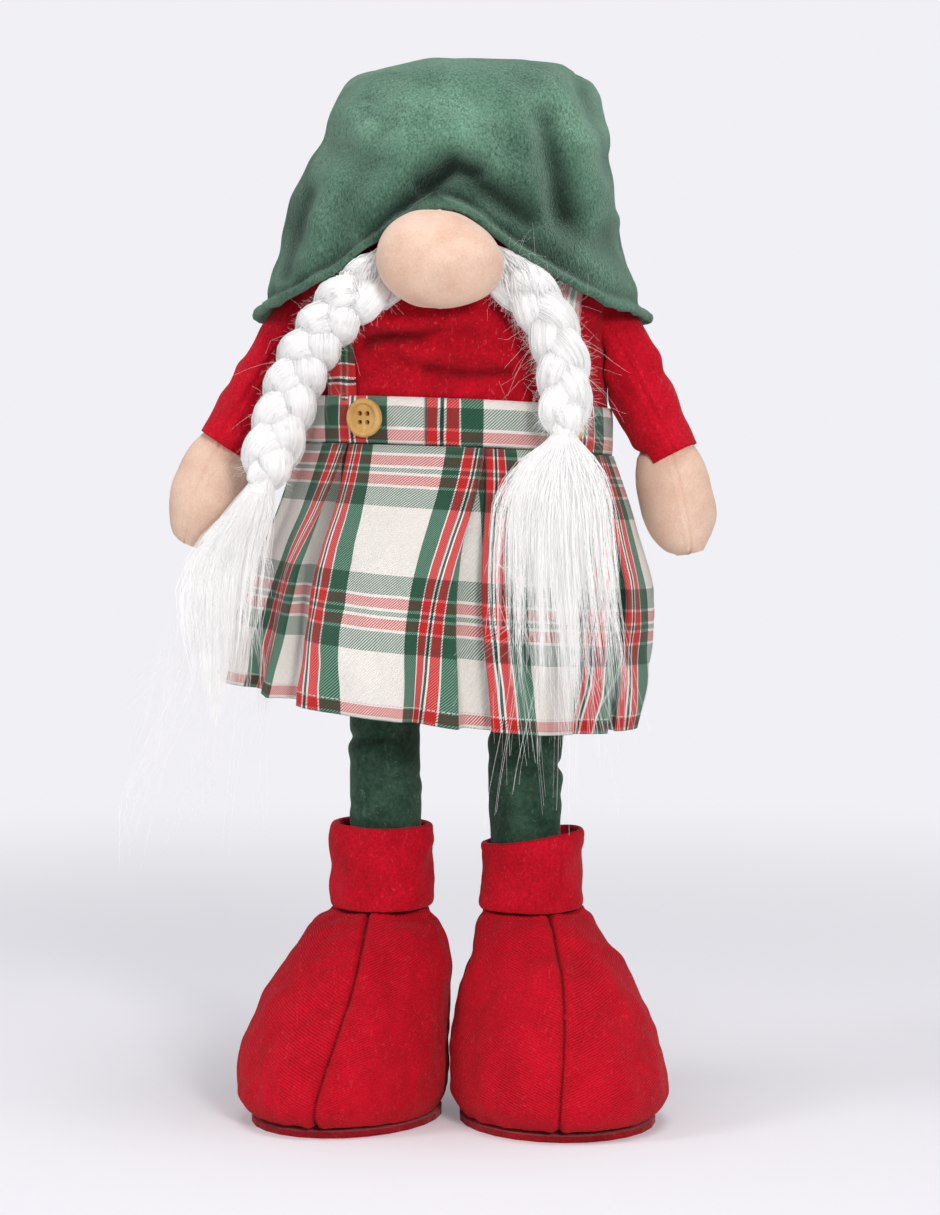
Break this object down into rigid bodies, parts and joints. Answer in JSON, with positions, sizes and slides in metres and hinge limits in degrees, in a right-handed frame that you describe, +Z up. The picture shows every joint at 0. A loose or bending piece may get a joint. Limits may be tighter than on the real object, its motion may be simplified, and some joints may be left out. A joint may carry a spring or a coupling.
{
  "type": "christmas gnome figure",
  "caption": "Standing christmas gnome figure with a plush hat over its brow, a round nose, two long plaits, a pleated tartan pinafore and large stuffed boots.",
  "frame": {"origin": "on the floor, under the middle of the figure's own box", "axes": "+Z up, the figure faces -Y, +X towards its own left hand"},
  "size_m": [0.2596, 0.2056, 0.4971],
  "materials": {
    "green_plush": "matte",
    "peach_felt": "matte",
    "red_fleece": "matte",
    "red_felt": "matte",
    "white_hair": "satin",
    "checked_cotton": "matte",
    "green_felt": "matte",
    "button_wood": "satin",
    "dowel_wood": "matte",
    "pellet_bag": "matte",
    "sole_felt": "matte"
  },
  "bodies": {
    "root": {"hat": "green_plush", "nose": "peach_felt", "torso": "red_fleece", "left_sleeve": "red_felt", "right_sleeve": "red_felt", "left_hand": "peach_felt", "right_hand": "peach_felt", "left_braid": "white_hair", "right_braid": "white_hair", "left_braid_tie": "white_hair", "right_braid_tie": "white_hair", "left_tassel": "white_hair", "right_tassel": "white_hair", "waistband": "checked_cotton", "skirt": "checked_cotton", "left_strap": "checked_cotton", "right_strap": "checked_cotton", "left_button": "button_wood", "right_button": "button_wood", "left_leg": "green_felt", "right_leg": "green_felt", "left_leg_dowel": "dowel_wood", "right_leg_dowel": "dowel_wood", "left_boot": "red_felt", "right_boot": "red_felt", "left_boot_cuff": "red_felt", "right_boot_cuff": "red_felt", "left_ballast_pouch": "pellet_bag", "right_ballast_pouch": "pellet_bag", "left_sole": "sole_felt", "right_sole": "sole_felt"}
  },
  "joints": []
}
